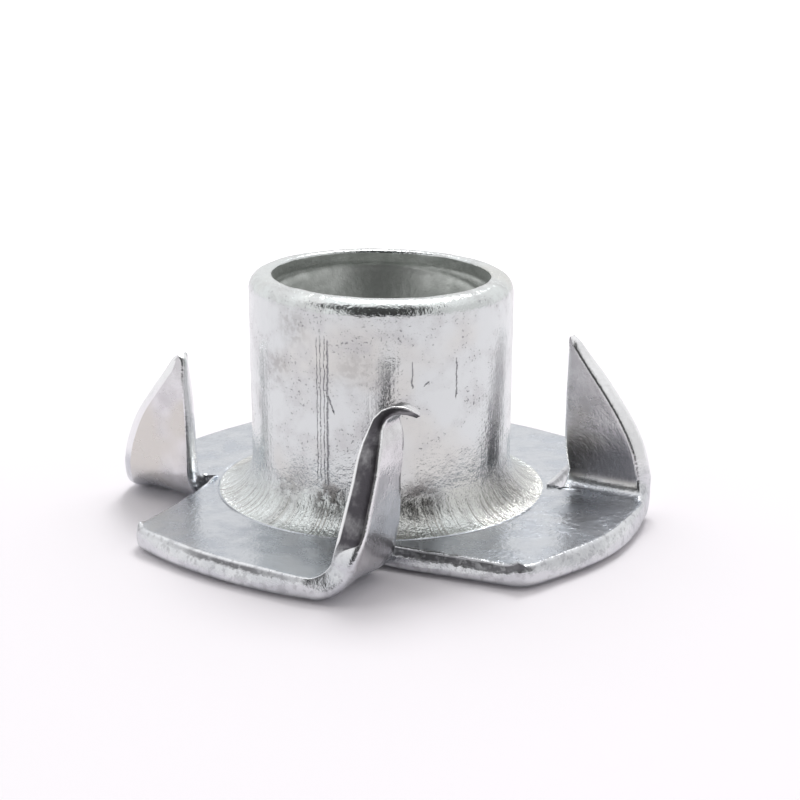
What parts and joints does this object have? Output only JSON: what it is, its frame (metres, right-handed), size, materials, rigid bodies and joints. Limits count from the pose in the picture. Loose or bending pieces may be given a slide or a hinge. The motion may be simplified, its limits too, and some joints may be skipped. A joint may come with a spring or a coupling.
{
  "type": "tee nut",
  "caption": "Pronged tee nut: a threaded barrel drawn up from a square flange, with pointed prongs folded up from its corners to grip wood.",
  "frame": {"origin": "on the barrel's axis at the underside of the flange", "axes": "+Z along the barrel, from the flange to the mouth; a screw enters from below and leaves towards +Z"},
  "size_m": [0.0248, 0.0248, 0.0112],
  "materials": {
    "zinc_plate": "bright zinc plating over drawn sheet steel, glossy but mottled, with draw lines up the barrel"
  },
  "bodies": {
    "root": {"tee_nut": "zinc_plate"}
  },
  "joints": []
}
